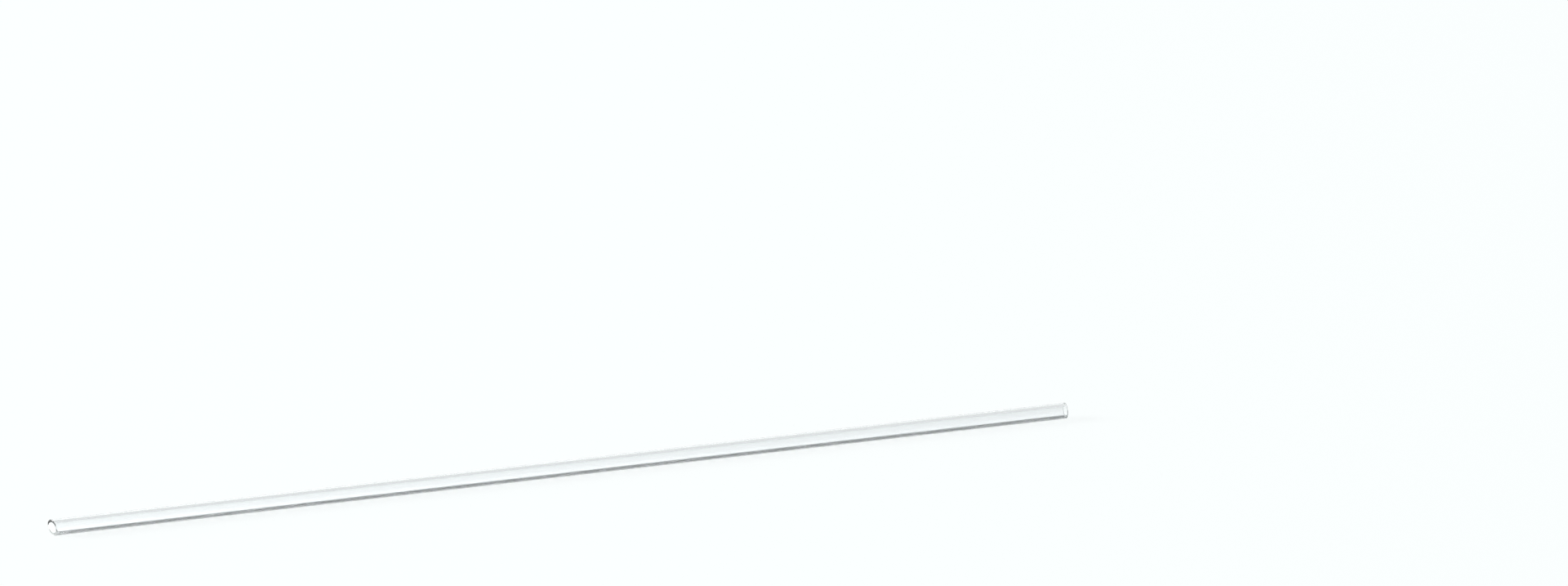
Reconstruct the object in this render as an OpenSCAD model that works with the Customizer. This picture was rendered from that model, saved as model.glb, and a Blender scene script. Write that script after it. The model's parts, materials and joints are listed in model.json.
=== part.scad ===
// Glass capillary tube, open at both ends.
//
// One length of thin-walled glass tubing, drawn to size, scored and snapped to length, with the
// sharp edges of both rims softened in a flame. It lies along X with its lowest line on z = 0.
// The +X end snapped square. The -X end snapped on a slant, and the tip of its longest lip is at
// x = -tube_length / 2. Millimetres, Z up.

/* [Tube] */
// Length, from the tip of the slanted end's lip to the square end
tube_length = 100; // [40:5:150]
// Outer diameter
outer_d = 1.5; // [1:0.1:3]
// Thickness of the wall all round
wall = 0.25; // [0.15:0.05:0.4]

/* [Ends] */
// Angle of the slanted end's cut, away from square
cut_slant = 18; // [0:1:30]
// Where round the tube the slanted cut's long lip stands, from +Y towards +Z
lip_turn = 24; // [0:1:359]
// Radius that the flame left on the inner and outer edge of each rim
edge_r = 0.05; // [0.02:0.01:0.07]

/* [Hidden] */
$fn = 96;

outer_r = outer_d / 2;
bore_r = outer_r - wall;
half_length = tube_length / 2;
// Distance that the slanted cut falls back along the tube for each millimetre across it
cut_lean = tan(cut_slant);
// How far the rounding of its edge draws back the tip of the slanted cut's lip
tip_loss = edge_r * (1 + cut_lean - 1 / cos(cut_slant));
// Middle of the slanted cut, on the tube's axis
cut_x = -half_length + outer_r * cut_lean - tip_loss;
// Length of tubing that is made with the slanted rim
lip_length = 1;
// Clear glass, with the faint green of its iron
glass_tint = [0.86, 0.92, 0.91, 0.45];

// Half section of tubing, with the tube's axis along Y. The rim at y = 0 has both of its edges
// rounded, and the other end is plain.
module section(length) {
    translate([bore_r, -length])
        square([wall, length - edge_r]);
    translate([bore_r + edge_r, -length])
        square([wall - 2 * edge_r, length]);
    for (r = [bore_r + edge_r, outer_r - edge_r])
        translate([r, -edge_r]) circle(edge_r);
}

// Tubing of the given length along X, whose rim faces +X at x = 0.
module tubing(length) {
    rotate([0, 90, 0]) rotate_extrude() section(length);
}

// Leans what it holds along the tube: cylinders round the X axis stay as they are, and square
// faces and the rounding of their edges take the slant of the cut.
module lean_along_tube() {
    multmatrix([
        [1, -cut_lean * cos(lip_turn), -cut_lean * sin(lip_turn), 0],
        [0, 1, 0, 0],
        [0, 0, 1, 0]
    ]) children();
}

// What the slanted cut takes off, on the -X side of x = 0.
module cut_off() {
    reach = lip_length + 2 * outer_d;
    lean_along_tube()
        translate([-reach, -reach, -reach])
            cube([reach, 2 * reach, 2 * reach]);
}

// The long run of the tube, with the square end's rim.
module straight_run() {
    difference() {
        translate([half_length, 0, 0]) tubing(tube_length);
        translate([cut_x + lip_length, 0, 0]) cut_off();
    }
}

// The last of the tube at -X, with the slanted end's rim.
module slanted_end() {
    translate([cut_x, 0, 0])
        lean_along_tube()
            mirror([1, 0, 0]) tubing(lip_length);
}

module capillary_tube() {
    color(glass_tint)
        translate([0, 0, outer_r]) {
            straight_run();
            slanted_end();
        }
}

capillary_tube();
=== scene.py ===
import json
import math

import bmesh
import bpy
from mathutils import Matrix, Vector


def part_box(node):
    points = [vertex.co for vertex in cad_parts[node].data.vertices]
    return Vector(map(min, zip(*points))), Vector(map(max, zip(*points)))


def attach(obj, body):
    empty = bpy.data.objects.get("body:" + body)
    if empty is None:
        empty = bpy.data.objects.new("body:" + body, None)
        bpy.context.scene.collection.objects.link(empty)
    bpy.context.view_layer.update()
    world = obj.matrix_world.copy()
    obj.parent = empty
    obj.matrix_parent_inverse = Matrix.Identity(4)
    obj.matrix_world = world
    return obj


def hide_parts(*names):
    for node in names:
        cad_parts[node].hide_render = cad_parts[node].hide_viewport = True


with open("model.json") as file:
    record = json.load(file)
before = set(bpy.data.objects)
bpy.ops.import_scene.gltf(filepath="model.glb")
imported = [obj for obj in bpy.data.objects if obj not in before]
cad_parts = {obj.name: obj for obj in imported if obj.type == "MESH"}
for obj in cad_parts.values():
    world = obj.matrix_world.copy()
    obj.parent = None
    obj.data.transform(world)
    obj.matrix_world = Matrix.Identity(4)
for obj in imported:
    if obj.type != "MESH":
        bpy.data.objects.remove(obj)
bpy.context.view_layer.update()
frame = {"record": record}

# ---------------------------------------------------------------- sizes, in metres

MM = 0.001
TUBE_NODE = "capillary_tube"
tube_low, tube_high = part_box(TUBE_NODE)
mounts = {mount["name"]: mount for mount in frame["record"]["mounts"]}

OUTER_R = mounts["outside"]["dims"]["r_mm"] * MM
BORE_R = mounts["bore"]["dims"]["r_mm"] * MM
WALL = OUTER_R - BORE_R
AXIS_Z = mounts["bore"]["pos_m"][2]
LENGTH = tube_high[0] - tube_low[0]

# The ends, which the frame doesn't describe, with the same values as in the part's source
CUT_SLANT = math.radians(18)  # the snapped end at -X, away from square
LIP_TURN = math.radians(24)  # where its long lip stands, from +Y towards +Z
EDGE_R = 0.05 * MM  # what the flame rounded off each rim's edges

# The slanted cut's middle on the axis, past its long lip and what rounding the lip took off
CUT_X = (
    tube_low[0]
    + OUTER_R * math.tan(CUT_SLANT)
    - EDGE_R * (1 + math.tan(CUT_SLANT) - 1 / math.cos(CUT_SLANT))
)

SIDES = 192  # facets round the tube
EDGE_STEPS = 6  # facets across a rounded edge
RIM_DEPTH = EDGE_R + 0.02 * MM  # how far behind each rim its ring of edges lies
SPARE = 2 * MM  # what is snapped off each end of the drawn length
ON_CUT = 0.0001 * MM  # points this near to a cut count as on it

ROUNDED_OVER = math.radians(45)  # edges sharper than this are rounded
SMOOTH_UNDER = math.radians(40)  # and edges blunter than this are shaded smooth


# ---------------------------------------------------------------- modelling by operators


def nothing_selected():
    """Leaves object mode with nothing selected."""
    if bpy.context.object and bpy.context.object.mode != "OBJECT":
        bpy.ops.object.mode_set(mode="OBJECT")
    bpy.ops.object.select_all(action="DESELECT")


def settle_place(piece):
    """Puts the piece's place and turn into its mesh, so that its object sits at the origin."""
    nothing_selected()
    piece.select_set(True)
    bpy.context.view_layer.objects.active = piece
    bpy.ops.object.transform_apply(location=True, rotation=True, scale=True)


def cut_across(at_x, facing):
    """Cuts both walls where a plane meets the axis at at_x, and takes off what it faces.

    A second, parallel ring of edges close behind the cut keeps the shading of the long walls
    straight up to the rim.
    """
    for x, take_off in ((at_x, True), (at_x - RIM_DEPTH / facing.x, False)):
        bpy.ops.mesh.select_all(action="SELECT")
        bpy.ops.mesh.bisect(
            plane_co=(x, 0, AXIS_Z), plane_no=facing, clear_outer=take_off, threshold=ON_CUT
        )


def close_rim(piece, side):
    """Bridges the outer and inner wall where the tube is open, on the -X or +X side."""
    bpy.ops.mesh.select_mode(type="EDGE")
    bpy.ops.mesh.select_all(action="DESELECT")
    mesh = bmesh.from_edit_mesh(piece.data)
    for edge in mesh.edges:
        if edge.is_boundary and edge.verts[0].co.x * side > 0:
            edge.select_set(True)
    mesh.select_flush_mode()
    bmesh.update_edit_mesh(piece.data)
    bpy.ops.mesh.bridge_edge_loops()


def round_rims():
    """Rounds the inner and outer edge of both rims, as the flame left them."""
    bpy.ops.mesh.select_mode(type="EDGE")
    bpy.ops.mesh.select_all(action="DESELECT")
    bpy.ops.mesh.edges_select_sharp(sharpness=ROUNDED_OVER)
    bpy.ops.mesh.bevel(
        offset=EDGE_R, offset_type="OFFSET", segments=EDGE_STEPS, profile=0.5, affect="EDGES"
    )


def make_tube():
    """The glass tube: a drawn wall with an open bore, snapped ends and flame-softened rims."""
    nothing_selected()
    bpy.ops.mesh.primitive_cylinder_add(
        vertices=SIDES,
        radius=OUTER_R,
        depth=LENGTH + 2 * SPARE,
        end_fill_type="NOTHING",
        location=(0, 0, AXIS_Z),
        rotation=(0, math.pi / 2, 0),
    )
    tube = bpy.context.object
    tube.name = "glass_tube"
    settle_place(tube)

    wall = tube.modifiers.new("wall", "SOLIDIFY")
    wall.thickness = WALL
    wall.offset = -1  # inwards from the outer wall
    wall.use_even_offset = True
    wall.use_rim = False
    bpy.ops.object.modifier_apply(modifier=wall.name)

    square = Vector((1, 0, 0))
    along_lip = Vector((0, math.cos(LIP_TURN), math.sin(LIP_TURN)))
    slanted = -square * math.cos(CUT_SLANT) - along_lip * math.sin(CUT_SLANT)

    bpy.ops.object.mode_set(mode="EDIT")
    cut_across(CUT_X, slanted)
    cut_across(tube_high[0], square)
    close_rim(tube, -1)
    close_rim(tube, +1)
    round_rims()
    bpy.ops.mesh.select_all(action="SELECT")
    bpy.ops.mesh.normals_make_consistent(inside=False)
    bpy.ops.object.mode_set(mode="OBJECT")
    bpy.ops.object.shade_smooth_by_angle(angle=SMOOTH_UNDER)
    return tube


# ---------------------------------------------------------------- shader maths


class Value:
    """A shader socket that can be used in sums, so that a pattern reads as an expression."""

    def __init__(self, tree, socket):
        self.tree = tree
        self.socket = socket

    def node(self, kind, settings=None, out=0, **inputs):
        """Adds a node, sets it, fills its inputs with numbers or links, and gives its output.

        An input goes by its name, with _ for a space, or by i and its number.
        """
        made = self.tree.nodes.new(kind)
        for name, setting in (settings or {}).items():
            setattr(made, name, setting)
        for name, value in inputs.items():
            place = made.inputs[int(name[1:]) if name[1:].isdigit() else name.replace("_", " ")]
            if isinstance(value, Value):
                value.feed(place)
            else:
                place.default_value = value
        return Value(self.tree, made.outputs[out])

    def feed(self, place):
        """Links this value to another node's input."""
        self.tree.links.new(self.socket, place)

    def parts(self):
        """The X, Y and Z of a vector."""
        return [self.node("ShaderNodeSeparateXYZ", out=axis, Vector=self) for axis in "XYZ"]

    def maths(self, operation, first, second):
        """One Math node on two values or numbers."""
        return self.node("ShaderNodeMath", {"operation": operation}, i0=first, i1=second)

    def __add__(self, other):
        return self.maths("ADD", self, other)

    def __sub__(self, other):
        return self.maths("SUBTRACT", self, other)

    def __mul__(self, other):
        return self.maths("MULTIPLY", self, other)

    def __rsub__(self, other):
        return self.maths("SUBTRACT", other, self)

    __radd__ = __add__
    __rmul__ = __mul__

    def or_more(self, other):
        """The larger of the two."""
        return self.maths("MAXIMUM", self, other)

    def smoothstep(self, start, end):
        """0 below start and 1 above end, with a soft turn between them."""
        return self.node(
            "ShaderNodeMapRange",
            {"interpolation_type": "SMOOTHSTEP"},
            Value=self,
            From_Min=start,
            From_Max=end,
            To_Min=0.0,
            To_Max=1.0,
        )


def new_material(name):
    """A material of the given name, with a plain surface to build on."""
    material = bpy.data.materials.new(name)
    material.use_nodes = True
    return material


# ---------------------------------------------------------------- glass

GLASS_IOR = 1.48
GLASS_TINT = (0.99, 0.995, 1.0, 1.0)

STREAK_SCALE = (15, 3000, 3000)  # patterns in a metre: long along the tube and fine across it
STREAK_DEPTH = 0.0002 * MM
SMUDGE_SCALE = 900.0
SMUDGE_EDGE = (0.45, 0.75)  # levels of the pattern between which a smudge fades in
HAZE = 0.012  # roughness in the middle of a smudge

FROST_COLOUR = (0.92, 0.96, 0.95, 1.0)
FROST_ROUGHNESS = 0.75
FROST_CLEARNESS = 0.4  # how much of the light it lets through
GRAIN_SCALE = 9000.0
GRAIN_MIDDLE = 0.5  # middle level of the pattern
GRAIN_EDGE = (0.3, 0.6)  # levels of the pattern between which a grain fades in
GRAIN_LEAST = 0.6  # how dull the break is between the grains, beside 1 on them
BREAK_DEPTH = (0.4 * EDGE_R, 0.9 * EDGE_R)  # where the dullness fades out behind a rim
# The slanted break gets more frost in its lower half than in its upper half. Over the break's real
# frost, this is painted light: a whiter lower half where light falls on it.
DULL_ABOVE = 0.06  # how dull the slanted break is in its upper half
FROST_AND_PAINTED_LIGHT_BELOW = 0.45  # and in its lower half
HALVES_CLIMB = 0.28  # how steeply the line between those halves climbs towards +Y
HALVES_RAGGED = 0.3 * MM  # how far the grain moves that line up and down
HALVES_FADE = (-0.10 * MM, 0.06 * MM)  # heights beside that line over which one turns to the other


def finish_walls(place, surface):
    """The faint long streaks that drawing leaves, and a haze of handling."""
    along = place.node("ShaderNodeMapping", Vector=place, Scale=STREAK_SCALE)
    streaks = along.node(
        "ShaderNodeTexNoise", Vector=along, Scale=1.0, Detail=2.0, Roughness=0.5
    )
    bump = streaks.node("ShaderNodeBump", Height=streaks, Strength=1.0, Distance=STREAK_DEPTH)
    bump.feed(surface.inputs["Normal"])

    smudges = place.node("ShaderNodeTexNoise", Vector=place, Scale=SMUDGE_SCALE, Detail=3.0)
    haze = smudges.smoothstep(*SMUDGE_EDGE) * HAZE
    haze.feed(surface.inputs["Roughness"])


def frost_and_painted_light_of_breaks(place):
    """How dull the glass is where it broke, from 0 for clear to 1.

    The square end broke rough all round. The slanted end is lightly frosted, and more in its lower
    half as painted light, whiter where light falls on it. Away from the rims it is 0.
    """
    x, y, z = place.parts()
    above_axis = z - AXIS_Z
    towards_lip = y * math.cos(LIP_TURN) + above_axis * math.sin(LIP_TURN)
    behind_slant = (x - CUT_X) * math.cos(CUT_SLANT) + towards_lip * math.sin(CUT_SLANT)
    behind_square = tube_high[0] - x
    slanted_rim = 1 - behind_slant.smoothstep(*BREAK_DEPTH)
    square_rim = 1 - behind_square.smoothstep(*BREAK_DEPTH)

    grain = place.node("ShaderNodeTexNoise", Vector=place, Scale=GRAIN_SCALE, Detail=2.0)
    # Painted light: below this ragged line the slanted break gets more whitish frost, so that its
    # lower half shows lighter where light falls on it.
    above_line = above_axis - y * HALVES_CLIMB + (grain - GRAIN_MIDDLE) * HALVES_RAGGED
    painted_light_lower_half = 1 - above_line.smoothstep(*HALVES_FADE)
    slanted_frost_and_painted_light = DULL_ABOVE + painted_light_lower_half * (FROST_AND_PAINTED_LIGHT_BELOW - DULL_ABOVE)
    break_frost_and_painted_light = slanted_rim * slanted_frost_and_painted_light + square_rim
    return break_frost_and_painted_light * (GRAIN_LEAST + grain.smoothstep(*GRAIN_EDGE) * (1 - GRAIN_LEAST))


def drawn_glass():
    """Clear drawn glass, dulled where it broke."""
    material = new_material("drawn_glass")
    tree = material.node_tree
    surface = tree.nodes["Principled BSDF"]
    surface.inputs["Base Color"].default_value = GLASS_TINT
    surface.inputs["Transmission Weight"].default_value = 1.0
    surface.inputs["IOR"].default_value = GLASS_IOR

    place = Value(tree, tree.nodes.new("ShaderNodeTexCoord").outputs["Object"])
    finish_walls(place, surface)
    frost = place.node(
        "ShaderNodeBsdfPrincipled",
        Base_Color=FROST_COLOUR,
        Roughness=FROST_ROUGHNESS,
        IOR=GLASS_IOR,
        Transmission_Weight=FROST_CLEARNESS,
    )
    clear = Value(tree, surface.outputs["BSDF"])
    # Frost at both breaks, plus painted light: extra whitish frost in the slanted break's lower
    # half.
    both = place.node("ShaderNodeMixShader", i0=frost_and_painted_light_of_breaks(place), i1=clear, i2=frost)
    both.feed(tree.nodes["Material Output"].inputs["Surface"])
    return material


# ---------------------------------------------------------------- floor

BOARD_SIZE = 6.0
BOARD_COLOUR = (0.945, 0.975, 0.975, 1.0)
BOARD_ROUGHNESS = 0.25
SHOWN_WHITE = (0.965, 1.0, 1.0, 1.0)
SHOWN_TO_CAMERA = 0.93  # how far the board shows as plain white to the camera
SHOWN_IN_GLASS = 0.04  # and in the glass, which shows it mostly as the lamp lights it


def lay_floor():
    """White satin board. Looked at, it is lifted to an even white, and keeps a light shadow."""
    nothing_selected()
    bpy.ops.mesh.primitive_plane_add(size=BOARD_SIZE, location=(0, 0, 0))
    floor = bpy.context.object
    floor.name = "floor"
    board = new_material("white_board")
    tree = board.node_tree
    surface = tree.nodes["Principled BSDF"]
    surface.inputs["Base Color"].default_value = BOARD_COLOUR
    surface.inputs["Roughness"].default_value = BOARD_ROUGHNESS

    light_path = tree.nodes.new("ShaderNodeLightPath")
    to_camera = Value(tree, light_path.outputs["Is Camera Ray"])
    mirrored = Value(tree, light_path.outputs["Is Glossy Ray"])
    through = Value(tree, light_path.outputs["Is Transmission Ray"])
    share = to_camera * SHOWN_TO_CAMERA + mirrored.or_more(through) * SHOWN_IN_GLASS
    lit = Value(tree, surface.outputs["BSDF"])
    white = share.node("ShaderNodeEmission", Color=SHOWN_WHITE, Strength=1.0)
    shown = share.node("ShaderNodeMixShader", i0=share, i1=lit, i2=white)
    shown.feed(tree.nodes["Material Output"].inputs["Surface"])
    floor.data.materials.append(board)


# ---------------------------------------------------------------- light

# How bright each part of the room is. The camera sees all of it as white.
ROOM_LEVEL = 0.08
BACKDROP_LEVEL = 0.8  # behind and off both ends of the tube
FRONT_LEVEL = 0.3  # low in front

# Where those parts fade in or out, by a unit vector that points at them: the back by its Y, the
# front by its Y turned round, the ends by its X squared, and both tops by its Z
BEHIND_FADE = (0.2, 0.5)
BACKDROP_TOP = (0.75, 0.9)
FRONT_FADE = (0.3, 0.5)
ENDS_FADE = (0.3, 0.6)
LOW_TOP = (0.35, 0.55)

LAMP_AT = Vector((-1.10, 0.48, 0.48))
LAMP_SIZE = 0.5
LAMP_ENERGY = 37.5  # watts


def dim_the_room():
    """A dim room with a pale backdrop behind and off both ends."""
    world = bpy.data.worlds.new("studio")
    bpy.context.scene.world = world
    world.use_nodes = True
    tree = world.node_tree
    direction = Value(tree, tree.nodes.new("ShaderNodeTexCoord").outputs["Generated"])
    sideways, behind, up = direction.parts()
    low = 1 - up.smoothstep(*LOW_TOP)
    at_back = behind.smoothstep(*BEHIND_FADE) * (1 - up.smoothstep(*BACKDROP_TOP))
    at_ends = (sideways * sideways).smoothstep(*ENDS_FADE) * low
    in_front = (0 - behind).smoothstep(*FRONT_FADE) * low
    level = (
        ROOM_LEVEL
        + at_back.or_more(at_ends) * (BACKDROP_LEVEL - ROOM_LEVEL)
        + in_front * (FRONT_LEVEL - ROOM_LEVEL)
    )
    to_camera = Value(tree, tree.nodes.new("ShaderNodeLightPath").outputs["Is Camera Ray"])
    shown = level + to_camera * (1 - level)

    background = tree.nodes["Background"]
    background.inputs["Color"].default_value = SHOWN_WHITE
    shown.feed(background.inputs["Strength"])


def hang_lamp():
    """One soft lamp behind at the left, turned towards the tube."""
    lamp = bpy.data.lights.new("soft_lamp", "AREA")
    lamp.shape = "DISK"
    lamp.size = LAMP_SIZE
    lamp.energy = LAMP_ENERGY
    lamp_object = bpy.data.objects.new("soft_lamp", lamp)
    bpy.context.scene.collection.objects.link(lamp_object)
    lamp_object.location = LAMP_AT
    lamp_object.rotation_euler = (-LAMP_AT).to_track_quat("-Z", "Y").to_euler()


# ---------------------------------------------------------------- camera

CAMERA_AT = Vector((-0.39197, -1.08413, 0.36917))
CAMERA_TURN = math.radians(20.886)  # to the right of +Y
CAMERA_PITCH = math.radians(16.957)  # down
CAMERA_LENS = 300.0  # millimetres
CAMERA_SENSOR = 36.0  # millimetres
CAMERA_REACH = (0.01, 20.0)  # nearest and farthest that it sees


def set_camera():
    """A long lens from in front at the left, looking down on the tube."""
    camera = bpy.data.objects.new("camera", bpy.data.cameras.new("camera"))
    bpy.context.scene.collection.objects.link(camera)
    camera.data.sensor_width = CAMERA_SENSOR
    camera.data.lens = CAMERA_LENS
    camera.data.clip_start, camera.data.clip_end = CAMERA_REACH
    turn = Matrix.Rotation(-CAMERA_TURN, 4, "Z")
    tip = Matrix.Rotation(math.pi / 2 - CAMERA_PITCH, 4, "X")
    camera.matrix_world = Matrix.Translation(CAMERA_AT) @ turn @ tip
    bpy.context.scene.camera = camera


# ---------------------------------------------------------------- the scene

bpy.context.scene.view_settings.view_transform = "Standard"

tube = make_tube()
tube.data.materials.append(drawn_glass())
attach(tube, "root")
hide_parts(TUBE_NODE)

lay_floor()
dim_the_room()
hang_lamp()
set_camera()
